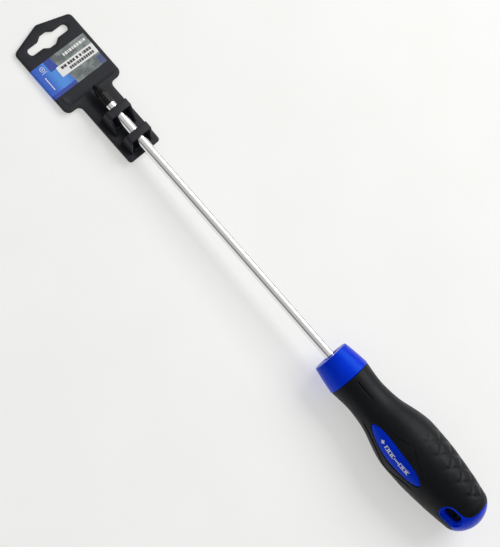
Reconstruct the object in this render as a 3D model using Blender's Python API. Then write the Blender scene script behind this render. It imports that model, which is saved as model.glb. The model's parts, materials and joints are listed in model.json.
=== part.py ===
"""Cross-point screwdriver with a two-component handle, still clipped in its retail hanger.

It lies as it would on a bench. +X runs from the tip to the butt and +Z is up.
The thick palm and the far end of the hanger touch the ground, so the tool climbs slightly to the butt.

Each piece is modelled in the tool's own frame: the origin is the centre of the collar's front face,
x runs along the blade to the butt, and z is up. The handle's pieces are also turned about x.
"""
from math import atan2, cos, pi, radians, sin, sqrt, tan

import bmesh
import bpy
from mathutils import Vector

MM = 0.001
GAP = 0.3 * MM            # clear space between pieces that touch

# Blade
BLADE_LENGTH = 200 * MM   # tip to collar
BLADE_RADIUS = 3.0 * MM
TIP_RADIUS = 1.15 * MM
CONE_LENGTH = 6.4 * MM
FLUTE_LENGTH = 8.6 * MM
WING_HALF = 0.55 * MM     # half the thickness of one wing of the cross at the very tip
TANG_LENGTH = 72 * MM     # blade hidden inside the handle
KEY_START = 50 * MM       # pressed key wings that stop the tang from turning
KEY_LENGTH = 8 * MM
KEY_REACH = 4.5 * MM
KEY_HALF = 0.8 * MM

# Tang core: the hard plug moulded round the tang
NOSE_RADIUS = 4.2 * MM
NOSE_LENGTH = 12 * MM
CORE_RADIUS = 6.4 * MM
CORE_LENGTH = 80 * MM
CORE_RINGS = 4
RING_DEPTH = 0.7 * MM
RING_WIDTH = 4 * MM

# Handle
HANDLE_LENGTH = 124.6 * MM
COLLAR_LENGTH = 16.2 * MM
COLLAR_FRONT = 11.0 * MM  # radius
COLLAR_REAR = 13.2 * MM   # radius
COLLAR_EDGE = 0.6 * MM
GRIP_WALL = 2.6 * MM
GRIP_END = 118.2 * MM
DOME_START = 113.5 * MM
DOME_POWER = 1.85
# Waist and palm: distance from the collar's front face, and radius
PALM_STATIONS = [(x * MM, r * MM) for x, r in (
    (16.2, 13.0), (28, 11.9), (36, 12.25), (44, 13.4), (52, 15.7), (58, 17.3),
    (64, 18.3), (72, 18.45), (82, 18.25), (92, 17.4), (103, 16.2), (113.5, 14.55))]
PALM_RADIUS = 18.45 * MM
HANDLE_ROLL = radians(60)  # the badge's face leans this far from straight up

BADGE_CENTRE = 64.1 * MM
BADGE_HALF_LENGTH = 21.2 * MM
BADGE_HALF_WIDTH = 5.6 * MM
TONGUE_START = 102.2 * MM
TONGUE_HALF_WIDTH = 5.65 * MM
SLOT_CENTRE = 110.0 * MM
SLOT_HALF_LENGTH = 5.75 * MM
SLOT_HALF_WIDTH = 3.4 * MM
FUNNEL_START = 12.6 * MM  # height at which the slot begins to flare
FUNNEL_END = 16.2 * MM
FUNNEL_FLARE = 1.8 * MM
GROOVE_START = 20.0 * MM
GROOVE_LENGTH = 12.3 * MM
GROOVE_WIDTH = 0.8 * MM
GROOVE_FLOOR = 11.1 * MM  # radius

# Hanger
CARD_TOP = -5.2 * MM      # the card's upper face, below the blade's centre line
CARD_THICKNESS = 2.0 * MM
CARD_APEX = -247.6 * MM
CARD_SHOULDER = -241.5 * MM
CARD_NECK = -196.6 * MM
CARD_HALF_WIDTH = 21.0 * MM
STEM_END = -153.9 * MM
STEM_HALF_WIDTH = 11.5 * MM
PEG_CENTRE = -236.9 * MM  # the hole for a shop's peg
PEG_HALF_LENGTH = 14.5 * MM
PEG_HALF_WIDTH = 2.35 * MM
PEG_BULGE = 4.45 * MM
STRAP_STARTS = (-183.2 * MM, -166.2 * MM)
GUSSET_LENGTHS = (12.9 * MM, 9.1 * MM)
STRAP_WIDTH = 4.9 * MM
STRAP_TOP = 5.1 * MM
STRAP_UNDERSIDE = 3.3 * MM
STRAP_HALF_SPAN = 8.15 * MM
LEG_THICKNESS = 1.6 * MM
SADDLE_HALF_SPAN = 5.6 * MM
SADDLE_WIDTH = 1.4 * MM

# Label and size sticker
LABEL_START = -228.2 * MM
LABEL_WIDTH = 20.8 * MM
LABEL_EDGE = 18.7 * MM    # the wrap starts here, crosses the card and returns underneath
FILM = 0.2 * MM
STICKER_CENTRE = (-217.9 * MM, 5.15 * MM)
STICKER_SIZE = (6.5 * MM, 26.9 * MM)
STICKER_TURN = radians(-1.1)

SIDES = 48                # facets round a turned piece
ARC_STEPS = 6


# Shape helpers

def add_object(name, mesh_builder, parent, material):
    """Turn a finished bmesh into a named object with outward faces and smooth round parts."""
    bmesh.ops.recalc_face_normals(mesh_builder, faces=mesh_builder.faces)
    mesh = bpy.data.meshes.new(name)
    mesh_builder.to_mesh(mesh)
    mesh_builder.free()
    mesh.shade_smooth()
    mesh.set_sharp_from_angle(angle=radians(30))
    piece = bpy.data.objects.new(name, mesh)
    bpy.context.collection.objects.link(piece)
    piece.parent = parent
    if material:
        mesh.materials.append(material)
    else:
        piece.hide_render = True
        piece.display_type = "WIRE"
    return piece


def skin_rings(mesh_builder, rings, closed):
    """Join neighbouring rings of points with faces; a ring of one point is a pole."""
    pairs = list(zip(rings, rings[1:]))
    if closed:
        pairs.append((rings[-1], rings[0]))
    for first, second in pairs:
        for k in range(max(len(first), len(second))):
            corners = []
            for ring, step in ((first, k), (first, k + 1), (second, k + 1), (second, k)):
                point = ring[step % len(ring)]
                if point not in corners:
                    corners.append(point)
            mesh_builder.faces.new(corners)


def turned(name, profile, parent, material=None, tube=False):
    """Solid of revolution about x through (x, radius) points. A tube's outline closes on itself."""
    mesh_builder = bmesh.new()
    rings = []
    for x, radius in profile:
        if radius == 0:
            rings.append([mesh_builder.verts.new((x, 0, 0))])
            continue
        angles = [2 * pi * k / SIDES for k in range(SIDES)]
        rings.append([mesh_builder.verts.new((x, radius * cos(a), radius * sin(a))) for a in angles])
    skin_rings(mesh_builder, rings, tube)
    return add_object(name, mesh_builder, parent, material)


def loft(name, sections, parent, material=None):
    """Solid through a stack of outlines with equal point counts, capped at both ends."""
    mesh_builder = bmesh.new()
    rings = [[mesh_builder.verts.new(point) for point in section] for section in sections]
    skin_rings(mesh_builder, rings, False)
    mesh_builder.faces.new(rings[0])
    mesh_builder.faces.new(rings[-1])
    return add_object(name, mesh_builder, parent, material)


def flat_prism(name, outline, low, high, parent, material=None):
    """Prism whose outline lies in x and y."""
    return loft(name, [[(x, y, z) for x, y in outline] for z in (low, high)], parent, material)


def side_prism(name, outline, low, high, parent, material=None):
    """Prism whose outline lies in x and z and which runs across y."""
    return loft(name, [[(x, y, z) for x, z in outline] for y in (low, high)], parent, material)


def block(name, low, high, parent, material=None):
    outline = [(low[0], low[1]), (high[0], low[1]), (high[0], high[1]), (low[0], high[1])]
    return flat_prism(name, outline, low[2], high[2], parent, material)


def apply_boolean(piece, operation, *others):
    for other in others:
        modifier = piece.modifiers.new(operation.lower(), "BOOLEAN")
        modifier.operation = operation
        modifier.solver = "EXACT"
        modifier.object = other


def rounded(corners):
    """Closed outline in which each corner (x, y, radius) becomes a tangent arc."""
    outline = []
    for i, (x, y, radius) in enumerate(corners):
        corner = Vector((x, y))
        to_last = (Vector(corners[i - 1][:2]) - corner).normalized()
        to_next = (Vector(corners[(i + 1) % len(corners)][:2]) - corner).normalized()
        half = to_last.angle(to_next) / 2
        centre = corner + (to_last + to_next).normalized() * radius / sin(half)
        first = corner + to_last * radius / tan(half) - centre
        last = corner + to_next * radius / tan(half) - centre
        start = atan2(first.y, first.x)
        sweep = atan2(first.x * last.y - first.y * last.x, first.dot(last))
        for k in range(ARC_STEPS + 1):
            angle = start + sweep * k / ARC_STEPS
            outline.append((centre.x + radius * cos(angle), centre.y + radius * sin(angle)))
    return outline


def ellipse(centre_x, half_length, half_width, points=40):
    angles = [2 * pi * k / points for k in range(points)]
    return [(centre_x + half_length * cos(a), half_width * sin(a)) for a in angles]


def stadium(start, end, half_width):
    """Straight-sided outline along x with round ends."""
    outline = []
    for centre, first_angle in ((end - half_width, -pi / 2), (start + half_width, pi / 2)):
        for k in range(2 * ARC_STEPS + 1):
            angle = first_angle + pi * k / (2 * ARC_STEPS)
            outline.append((centre + half_width * cos(angle), half_width * sin(angle)))
    return outline


def make_material(name, colour, roughness, metallic=0.0):
    material = bpy.data.materials.new(name)
    material.use_nodes = True
    surface = material.node_tree.nodes["Principled BSDF"]
    surface.inputs["Base Color"].default_value = (*colour, 1)
    surface.inputs["Roughness"].default_value = roughness
    surface.inputs["Metallic"].default_value = metallic
    return material


# Handle profile

def palm_radius(x):
    """Smooth cubic through the stations, then a blunt dome to the butt."""
    if x >= DOME_START:
        part = min((x - DOME_START) / (HANDLE_LENGTH - DOME_START), 1)
        return PALM_STATIONS[-1][1] * (1 - part ** DOME_POWER) ** (1 / DOME_POWER)
    stations = PALM_STATIONS
    last = len(stations) - 1
    i = max(k for k in range(last) if stations[k][0] <= x or k == 0)

    def slope(k):
        low, high = stations[max(k - 1, 0)], stations[min(k + 1, last)]
        return (high[1] - low[1]) / (high[0] - low[0])

    (x0, r0), (x1, r1) = stations[i], stations[i + 1]
    width = x1 - x0
    t = (x - x0) / width
    blend = t * t * (3 - 2 * t)
    start_bend = t * (1 - t) ** 2
    end_bend = t * t * (t - 1)
    return r0 + (r1 - r0) * blend + width * (slope(i) * start_bend + slope(i + 1) * end_bend)


def palm_profile(start, end, steps, inset=0.0):
    places = [start + (end - start) * k / steps for k in range(steps + 1)]
    return [(x, palm_radius(x) - inset) for x in places]


def dome_profile(start):
    """Points bunched towards the butt, ending on the centre line."""
    steps = 8
    points = []
    for k in range(steps):
        x = start + (HANDLE_LENGTH - start) * sin(pi / 2 * k / steps)
        points.append((x, palm_radius(x)))
    return points + [(HANDLE_LENGTH, 0)]


def core_profile(grow):
    """Outside of the tang core. A larger grow gives the cavity that it sits in."""
    radius = CORE_RADIUS + grow
    points = [(NOSE_LENGTH - grow, NOSE_RADIUS + grow), (NOSE_LENGTH + 1 * MM - grow, radius)]
    pitch = (CORE_LENGTH - NOSE_LENGTH) / (CORE_RINGS + 1)
    for k in range(1, CORE_RINGS + 1):
        middle = NOSE_LENGTH + pitch * k
        half = RING_WIDTH / 2 - grow
        points += [(middle - half, radius), (middle - half + RING_DEPTH, radius - RING_DEPTH)]
        points += [(middle + half - RING_DEPTH, radius - RING_DEPTH), (middle + half, radius)]
    points += [(CORE_LENGTH - 2 * MM + grow, radius), (CORE_LENGTH + grow, radius - 1.5 * MM)]
    return points + [(CORE_LENGTH + grow, 0)]


# Pieces

def make_blade(frame, steel):
    """Round bar with a fluted cross point in front and pressed key wings on the hidden tang."""
    edge = 0.5 * MM
    profile = [(-BLADE_LENGTH, 0), (-BLADE_LENGTH, TIP_RADIUS), (CONE_LENGTH - BLADE_LENGTH, BLADE_RADIUS),
               (TANG_LENGTH - edge, BLADE_RADIUS), (TANG_LENGTH, BLADE_RADIUS - edge), (TANG_LENGTH, 0)]
    blade = turned("blade", profile, frame, steel)
    wings = block("key_wings", (KEY_START, -KEY_REACH, -KEY_HALF),
                  (KEY_START + KEY_LENGTH, KEY_REACH, KEY_HALF), frame)
    apply_boolean(blade, "UNION", wings)
    deep = (-BLADE_LENGTH - 0.5 * MM, WING_HALF)
    shallow = (FLUTE_LENGTH - BLADE_LENGTH, BLADE_RADIUS / sqrt(2) + 0.1 * MM)
    size = 3 * MM
    for side_y, side_z in ((1, 1), (-1, 1), (-1, -1), (1, -1)):
        sections = []
        for x, c in (deep, shallow):
            square = [(c, c), (c + size, c), (c + size, c + size), (c, c + size)]
            sections.append([(x, side_y * y, side_z * z) for y, z in square])
        apply_boolean(blade, "DIFFERENCE", loft("flute_cutter", sections, frame))


def make_tang_core(handle, plastic):
    """Hard plug round the tang, with ring grooves that lock the handle moulded over it."""
    front = GAP
    core = turned("tang_core", [(front, 0), (front, NOSE_RADIUS)] + core_profile(0), handle, plastic)
    bore_end = TANG_LENGTH + GAP
    bore = turned("tang_bore", [(-1 * MM, 0), (-1 * MM, BLADE_RADIUS + GAP), (bore_end, BLADE_RADIUS + GAP),
                                (bore_end, 0)], handle.parent)
    slot = block("key_slot", (KEY_START - GAP, -KEY_REACH - GAP, -KEY_HALF - GAP),
                 (KEY_START + KEY_LENGTH + GAP, KEY_REACH + GAP, KEY_HALF + GAP), handle.parent)
    apply_boolean(core, "DIFFERENCE", bore, slot)


def window_outlines(grow):
    """Outlines of the badge and of the rim round the hanging slot, seen square on."""
    badge = ellipse(BADGE_CENTRE, BADGE_HALF_LENGTH + grow, BADGE_HALF_WIDTH + grow)
    tongue = stadium(TONGUE_START - grow, HANDLE_LENGTH + 10 * MM, TONGUE_HALF_WIDTH + grow)
    return badge, tongue


def hanging_slot(handle):
    """Cutter for the slot through the butt, flared at both mouths."""
    sections = []
    reach = PALM_RADIUS + 2 * MM
    heights = ((-reach, FUNNEL_FLARE), (-FUNNEL_END, FUNNEL_FLARE), (-FUNNEL_START, 0),
               (FUNNEL_START, 0), (FUNNEL_END, FUNNEL_FLARE), (reach, FUNNEL_FLARE))
    for z, flare in heights:
        outline = stadium(SLOT_CENTRE - SLOT_HALF_LENGTH - flare, SLOT_CENTRE + SLOT_HALF_LENGTH + flare,
                          SLOT_HALF_WIDTH + flare)
        sections.append([(x, y, z) for x, y in outline])
    return loft("hanging_slot_cutter", sections, handle)


def make_handle_body(handle, plastic):
    """One hard moulding: collar, spine under the grip, two badges and the butt with its hanging slot."""
    past_collar = COLLAR_LENGTH + 2 * MM
    profile = [(0, 0), (0, COLLAR_FRONT - COLLAR_EDGE), (COLLAR_EDGE, COLLAR_FRONT),
               (COLLAR_LENGTH - COLLAR_EDGE, COLLAR_REAR), (COLLAR_LENGTH, COLLAR_REAR - COLLAR_EDGE / 2)]
    profile += palm_profile(past_collar, DOME_START, 24) + dome_profile(DOME_START)[1:]
    body = turned("handle_body", profile, handle, plastic)
    reach = PALM_RADIUS + 2 * MM
    spine = palm_profile(COLLAR_LENGTH, GRIP_END + GAP, 24, GRIP_WALL)
    outside = [(x, reach + 3 * MM) for x, _ in (spine[-1], spine[0])]
    sleeve = turned("sleeve_cutter", spine + outside, handle, tube=True)
    for outline in window_outlines(0):
        apply_boolean(sleeve, "DIFFERENCE", flat_prism("raised_area", outline, -2 * reach, 2 * reach, handle))
    cavity = turned("core_cavity", [(-1 * MM, 0), (-1 * MM, NOSE_RADIUS + GAP)] + core_profile(GAP), handle)
    apply_boolean(body, "DIFFERENCE", sleeve, hanging_slot(handle), cavity)


def make_grip(handle, rubber):
    """Soft sleeve from the collar to the butt, open over the badges and the slot's rim."""
    start = COLLAR_LENGTH + GAP
    outer = palm_profile(start, GRIP_END, 24)
    inner = palm_profile(start, GRIP_END, 24, GRIP_WALL - GAP)
    grip = turned("grip", outer + inner[::-1], handle, rubber, tube=True)
    reach = PALM_RADIUS + 2 * MM
    for outline in window_outlines(GAP):
        apply_boolean(grip, "DIFFERENCE", flat_prism("window_cutter", outline, -reach, reach, handle))
    for k in range(4):
        low = (GROOVE_START, -GROOVE_WIDTH / 2, GROOVE_FLOOR)
        high = (GROOVE_START + GROOVE_LENGTH, GROOVE_WIDTH / 2, reach)
        groove = block("groove_cutter", low, high, handle)
        groove.rotation_euler.x = radians(45 + 90 * k)
        apply_boolean(grip, "DIFFERENCE", groove)


def card_outline():
    """Tag with a gabled far end and a stem towards the handle."""
    upper = [(CARD_APEX, 0, 3 * MM), (CARD_SHOULDER, CARD_HALF_WIDTH, 3 * MM),
             (CARD_NECK, CARD_HALF_WIDTH, 4 * MM), (CARD_NECK, STEM_HALF_WIDTH, 3 * MM),
             (STEM_END, STEM_HALF_WIDTH, 1.8 * MM)]
    lower = [(x, -y, radius) for x, y, radius in upper[:0:-1]]
    return rounded(upper + lower)


def peg_outline():
    """Slot across the card with a bulge in the middle, so that a round or a flat peg fits."""
    bulge = PEG_BULGE
    side = PEG_HALF_WIDTH
    end = PEG_HALF_LENGTH
    half = [(side, end, side * 0.95), (side, 5.6 * MM, 1.5 * MM), (bulge, 2.3 * MM, 2 * MM)]
    quarter_turns = half + [(x, -y, r) for x, y, r in half[::-1]]
    both = quarter_turns + [(-x, -y, r) for x, y, r in quarter_turns]
    return rounded([(PEG_CENTRE + x, y, radius) for x, y, radius in both])


def add_strap(hanger, frame, start, gusset):
    """Arch over the blade: two sloping side walls, a bridge, and a saddle rib that the blade rests on."""
    root = CARD_TOP - 1 * MM
    end = start + gusset
    wall = [(start, root), (start, STRAP_TOP), (start + STRAP_WIDTH, STRAP_TOP), (end, CARD_TOP + 0.6 * MM),
            (end, root)]
    for side in (-1, 1):
        low, high = sorted((side * STRAP_HALF_SPAN, side * (STRAP_HALF_SPAN - LEG_THICKNESS)))
        apply_boolean(hanger, "UNION", side_prism("strap_wall", wall, low, high, frame))
    inside = STRAP_HALF_SPAN - LEG_THICKNESS / 2
    lift = 0.02 * MM
    bridge = block("strap_bridge", (start + lift, -inside, STRAP_UNDERSIDE),
                   (start + STRAP_WIDTH - lift, inside, STRAP_TOP - lift), frame)
    saddle_start = end - 4.2 * MM + (0.2 * MM if gusset > 10 * MM else 2.6 * MM)
    saddle = block("saddle_rib", (saddle_start, -SADDLE_HALF_SPAN, root),
                   (saddle_start + SADDLE_WIDTH, SADDLE_HALF_SPAN, -BLADE_RADIUS - GAP), frame)
    apply_boolean(hanger, "UNION", bridge, saddle)


def make_hanger(frame, plastic):
    bottom = CARD_TOP - CARD_THICKNESS
    hanger = flat_prism("hanger", card_outline(), bottom, CARD_TOP, frame, plastic)
    peg = flat_prism("peg_hole_cutter", peg_outline(), bottom - 1 * MM, CARD_TOP + 1 * MM, frame)
    apply_boolean(hanger, "DIFFERENCE", peg)
    recess = FILM + GAP
    start = LABEL_START - GAP
    end = LABEL_START + LABEL_WIDTH + GAP
    outside = CARD_HALF_WIDTH + 1 * MM
    upper = block("label_recess", (start, -outside, CARD_TOP - recess), (end, LABEL_EDGE + GAP, 1 * MM), frame)
    lower = block("label_recess", (start, -outside, bottom - 1 * MM), (end, LABEL_EDGE + GAP, bottom + recess), frame)
    edge = block("label_recess", (start, -outside, bottom - 2 * MM), (end, recess - CARD_HALF_WIDTH, 2 * MM), frame)
    apply_boolean(hanger, "DIFFERENCE", upper, lower, edge)
    for start, gusset in zip(STRAP_STARTS, GUSSET_LENGTHS):
        add_strap(hanger, frame, start, gusset)


def make_label(frame, film):
    """Printed film folded round one long edge of the card."""
    top = CARD_TOP
    bottom = CARD_TOP - CARD_THICKNESS
    edge = -CARD_HALF_WIDTH
    outline = [(LABEL_EDGE, top), (edge, top), (edge, bottom), (LABEL_EDGE, bottom),
               (LABEL_EDGE, bottom + FILM), (edge + FILM, bottom + FILM), (edge + FILM, top - FILM),
               (LABEL_EDGE, top - FILM)]
    sections = [[(x, y, z) for y, z in outline] for x in (LABEL_START, LABEL_START + LABEL_WIDTH)]
    loft("label", sections, frame, film)


def make_size_sticker(frame, film):
    low = CARD_TOP + GAP
    half_x, half_y = STICKER_SIZE[0] / 2, STICKER_SIZE[1] / 2
    sticker = block("size_sticker", (-half_x, -half_y, 0), (half_x, half_y, FILM), frame, film)
    sticker.location = (*STICKER_CENTRE, low)
    sticker.rotation_euler.z = STICKER_TURN


def add_empty(name, parent=None):
    empty = bpy.data.objects.new(name, None)
    bpy.context.collection.objects.link(empty)
    empty.parent = parent
    return empty


def lay_on_ground(frame):
    """Tilt the tool until palm and card both touch z = 0, and centre its box on the origin."""
    card_height = CARD_TOP - CARD_THICKNESS
    tilt = 0
    for _ in range(4):
        places = palm_profile(COLLAR_LENGTH, DOME_START, 300)
        touch_x, touch_radius = max(places, key=lambda place: place[1] * cos(tilt) - place[0] * sin(tilt))
        tilt = atan2(touch_radius + card_height, touch_x - CARD_APEX)
    frame.rotation_euler.y = -tilt
    butt = HANDLE_LENGTH * cos(tilt)
    far_end = CARD_APEX * cos(tilt) - CARD_TOP * sin(tilt)
    axis_height = touch_radius * cos(tilt) - touch_x * sin(tilt)
    frame.location = (-(butt + far_end) / 2, 0, axis_height)


def main():
    for leftover in list(bpy.data.objects):
        bpy.data.objects.remove(leftover)
    steel = make_material("chromed_steel", (0.62, 0.63, 0.64), 0.12, 1.0)
    core_plastic = make_material("core_plastic", (0.03, 0.03, 0.035), 0.5)
    blue_plastic = make_material("blue_plastic", (0.005, 0.035, 0.62), 0.32)
    grip_rubber = make_material("grip_rubber", (0.012, 0.012, 0.014), 0.62)
    card_plastic = make_material("card_plastic", (0.018, 0.019, 0.024), 0.5)
    label_film = make_material("label_film", (0.08, 0.17, 0.45), 0.3)
    sticker_film = make_material("sticker_film", (0.85, 0.86, 0.87), 0.4)

    frame = add_empty("tool_frame")
    handle = add_empty("handle_frame", frame)
    handle.rotation_euler.x = HANDLE_ROLL
    make_blade(frame, steel)
    make_tang_core(handle, core_plastic)
    make_handle_body(handle, blue_plastic)
    make_grip(handle, grip_rubber)
    make_hanger(frame, card_plastic)
    make_label(frame, label_film)
    make_size_sticker(frame, sticker_film)
    lay_on_ground(frame)


main()
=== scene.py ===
"""Looks of the cross-point screwdriver in its retail hanger.

Shapes are worked out in millimetres in the tool's own frame: the origin is the centre of the collar's front
face, x runs along the blade to the butt, and z points out of the hanger card's face. The handle's frame is
turned about x until its z points out of the upper badge. An angle round the handle is measured from that z.
"""
import json
from math import asin, atan2, cos, pi, radians, sin, sqrt, tan

import bmesh
import bpy
import numpy as np
from mathutils import Matrix, Vector
from mathutils.geometry import delaunay_2d_cdt
from mathutils.kdtree import KDTree


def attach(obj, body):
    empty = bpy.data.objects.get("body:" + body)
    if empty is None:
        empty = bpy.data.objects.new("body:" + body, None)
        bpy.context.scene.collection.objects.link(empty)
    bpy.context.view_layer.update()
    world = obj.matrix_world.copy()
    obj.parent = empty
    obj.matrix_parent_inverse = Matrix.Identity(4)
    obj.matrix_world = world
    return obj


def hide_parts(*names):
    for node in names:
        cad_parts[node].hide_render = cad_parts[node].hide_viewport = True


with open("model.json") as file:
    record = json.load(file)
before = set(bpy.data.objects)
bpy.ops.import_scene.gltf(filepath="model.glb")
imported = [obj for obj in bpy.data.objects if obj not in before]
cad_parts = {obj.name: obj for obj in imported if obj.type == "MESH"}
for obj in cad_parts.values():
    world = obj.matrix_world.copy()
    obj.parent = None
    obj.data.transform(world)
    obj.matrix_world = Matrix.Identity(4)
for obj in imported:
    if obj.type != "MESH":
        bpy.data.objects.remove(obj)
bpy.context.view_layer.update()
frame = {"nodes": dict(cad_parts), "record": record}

MM = 0.001
WELD = 2e-6  # metres

# Blade
BLADE_LENGTH = 200
BLADE_RADIUS = 3.0
TIP_RADIUS = 1.15
CONE_LENGTH = 6.4
FLUTE_LENGTH = 8.6
WING_HALF = 0.55
WING_GROWTH = 0.184  # a wing's half thickness gained per millimetre from the tip
POINT_SHARE = 0.82  # the point's flat end, as a share of the section behind it
RIB_HEIGHT = 0.22  # fine rib in the root of each flute
RIB_LENGTH = 4.5
RIB_HALF_ANGLE = radians(9)
TANG_LENGTH = 72
KEY_START = 50
KEY_LENGTH = 8
KEY_REACH = 4.5
KEY_HALF = 0.8
BLACK_LENGTH = 13.7  # blackened end of the blade

# Handle
HANDLE_LENGTH = 124.6
COLLAR_LENGTH = 16.2
COLLAR_FRONT = 11.0
COLLAR_REAR = 13.2
COLLAR_BULGE = 0.16
GRIP_WALL = 2.3
MOULD_GAP = 0.1  # dark seam between the two plastics
GRIP_END = 118.2
DOME_START = 113.5
DOME_POWER = 1.85
PALM_STATIONS = [(16.2, 13.0), (28, 11.9), (36, 12.25), (44, 13.4), (52, 15.7), (58, 17.3), (64, 18.3),
                 (72, 18.45), (82, 18.25), (92, 17.4), (103, 16.2), (113.5, 14.55)]
BADGE_CENTRE = 64.1
BADGE_HALF_LENGTH = 21.2
BADGE_HALF_WIDTH = 5.6
BADGE_SINK = 0.32
BADGE_CROWN = 0.12  # the badge rises by this much over CROWN_RISE from its edge
CROWN_RISE = 4
TONGUE_START = 102.2
TONGUE_HALF_WIDTH = 5.65
SLOT_CENTRE = 110.0
SLOT_HALF_LENGTH = 5.75
SLOT_HALF_WIDTH = 3.4
MOUTH_FLARE = 1.25
RIM_DROP = 0.35
THROAT = 0.6  # the slot narrows by this much below its funnels
GROOVE_START = 20.0
GROOVE_LENGTH = 12.3
GROOVE_HALF_WIDTH = 0.4
GROOVE_FLOOR = 11.1
PATCH_END = 121.4  # past here the butt is a plain turned dome
ROUND_STEPS = 128  # facets round a turned part of the handle
LIP = 0.38  # radius of the soft edges of the grip
OUTLINE_SPACING = 0.45  # between the points of a fine outline
HIDDEN_SPACING = 2.6  # between the points of a surface that nothing shows

# Raised side panels of the grip: (x, half width of the lower middle band)
PANEL_EDGE = [(36, 3.7), (38, 4.6), (48, 7.0), (56.8, 9.1), (62, 11.6), (66.7, 12.9), (71.8, 10.6),
              (79.7, 7.4), (88, 5.6)]
PANEL_STEP = 0.35  # drop from the panels to the middle band
PANEL_VALLEY = 0.35  # extra depth of the crease along a panel's edge
PANEL_FADE_IN = (36, 42)  # x over which the panels appear, and then disappear
PANEL_FADE_OUT = (89, 78)
SCALE_PITCH = 9.6
SCALE_TURN = radians(24)
SCALE_HEIGHT = 0.34
SCALE_FIRST = 69.8  # centre of a scale on the flank's middle line
SCALE_FADE_IN = (64, 72)
SCALE_FADE_OUT = (115.5, 111)

# Hanger
CARD_TOP = -5.2
CARD_THICKNESS = 2.0
CARD_EDGE = 0.45
CARD_SPACING = 2.0  # between the points of the card's faces
CARD_APEX = -247.6
CARD_SHOULDER = -241.5
CARD_NECK = -196.6
CARD_HALF_WIDTH = 21.0
STEM_END = -153.9
STEM_HALF_WIDTH = 11.5
PEG_CENTRE = -236.9
PEG_HALF_LENGTH = 14.5
PEG_HALF_WIDTH = 2.35
PEG_BULGE = 4.45
STRAP_STARTS = (-183.2, -166.2)
GUSSET_LENGTHS = (12.9, 9.1)
STRAP_WIDTH = 4.9
STRAP_TOP = 5.1
STRAP_UNDERSIDE = 3.3
STRAP_HALF_SPAN = 8.15
SHOULDER_RADIUS = 1.9
LEG_THICKNESS = 1.6
SADDLE_HALF_SPAN = 5.6
SADDLE_WIDTH = 1.4
STEP_PLACE = -199.4  # shallow ridge across the card
STEP_HALF_LENGTH = 17.0
STEP_HEIGHT = 0.16

# Label and size sticker
LABEL_START = -228.2
LABEL_WIDTH = 20.8
LABEL_EDGE = 18.7
FILM = 0.12
FILM_LIFT = 0.03
STICKER_CENTRE = (-217.9, 5.15)
STICKER_SIZE = (6.5, 26.9)
STICKER_TURN = radians(-1.1)
PRINT = 0.03  # thickness of printed marks
SIGN_PLACE = (-225.2, -15.0)  # round sign on the label

# Places in the frame
BACK_X = -175.0  # the stated point on the hanger's flat back
HANDLE_ROLL = radians(60)  # turn of the handle about the blade


# Frames

def placement(origin, x_axis, z_axis):
    """Matrix that puts an object into a frame with these axes."""
    y_axis = z_axis.cross(x_axis)
    turn = Matrix((x_axis, y_axis, z_axis)).transposed().to_4x4()
    return Matrix.Translation(origin) @ turn


BACK = next(mount for mount in frame["record"]["mounts"] if mount["name"] == "card_back")
TOOL_Y = Vector((0, 1, 0))
TOOL_Z = -Vector(BACK["axis"]).normalized()
TOOL_X = TOOL_Y.cross(TOOL_Z)
BACK_PLACE = TOOL_X * BACK_X + TOOL_Z * (CARD_TOP - CARD_THICKNESS)
ORIGIN = Vector(BACK["pos_m"]) - BACK_PLACE * MM
TOOL = placement(ORIGIN, TOOL_X, TOOL_Z)
HANDLE = placement(ORIGIN, TOOL_X, TOOL_Z * cos(HANDLE_ROLL) - TOOL_Y * sin(HANDLE_ROLL))


# Mesh helpers

def add_object(name, data):
    made = bpy.data.objects.new(name, data)
    bpy.context.scene.collection.objects.link(made)
    return made


def add_piece(name, shape, place, materials, sharp):
    """One object from a shape, welded and with its faces pointing out. Sharp is in degrees."""
    mesh = bpy.data.meshes.new(name)
    mesh.from_pydata([tuple(c * MM for c in point) for point in shape.points], [], shape.faces)
    welded = bmesh.new()
    welded.from_mesh(mesh)
    bmesh.ops.remove_doubles(welded, verts=welded.verts, dist=WELD)
    bmesh.ops.dissolve_degenerate(welded, edges=welded.edges, dist=WELD / 4)
    bmesh.ops.recalc_face_normals(welded, faces=welded.faces)
    welded.to_mesh(mesh)
    welded.free()
    mesh.shade_smooth()
    mesh.set_sharp_from_angle(angle=radians(sharp))
    for material in materials:
        mesh.materials.append(material)
    piece = add_object(name, mesh)
    piece.matrix_world = place
    return piece


def belongs(piece, body, slot, *nodes):
    """The piece rides on a body and stands for these CAD nodes. Its slot is not used."""
    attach(piece, body)
    if nodes:
        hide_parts(*nodes)
    return piece


class Shape:
    """Points and faces gathered from several surfaces."""

    def __init__(self):
        self.points = []
        self.faces = []

    def add(self, points, faces):
        first = len(self.points)
        self.points.extend(points)
        self.faces.extend([first + corner for corner in face] for face in faces)

    def rings(self, rings):
        """Faces between neighbouring rings of points. A ring of one point is a pole."""
        for one, two in zip(rings, rings[1:]):
            count = max(len(one), len(two))
            for k in range(count):
                corners = []
                for ring, step in ((one, k), (one, k + 1), (two, k + 1), (two, k)):
                    point = ring[step % len(ring)]
                    if point not in corners:
                        corners.append(point)
                if len(corners) > 2:
                    self.face(corners)

    def face(self, ring):
        self.add(ring, [range(len(ring))])


def ease(t):
    return t * t * (3 - 2 * t)


def smooth_step(low, high, value):
    return ease(np.clip((value - low) / (high - low), 0, 1))


def inside(points, loops):
    """True where a point lies inside an odd number of closed loops."""
    x, y = points[:, 0], points[:, 1]
    result = np.zeros(len(points), bool)
    for loop in loops:
        loop = np.asarray(loop, float)
        for (x0, y0), (x1, y1) in zip(loop, np.roll(loop, -1, axis=0)):
            if y0 == y1:
                continue
            crosses = (y0 > y) != (y1 > y)
            result ^= crosses & (x < x0 + (y - y0) * (x1 - x0) / (y1 - y0))
    return result


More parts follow.
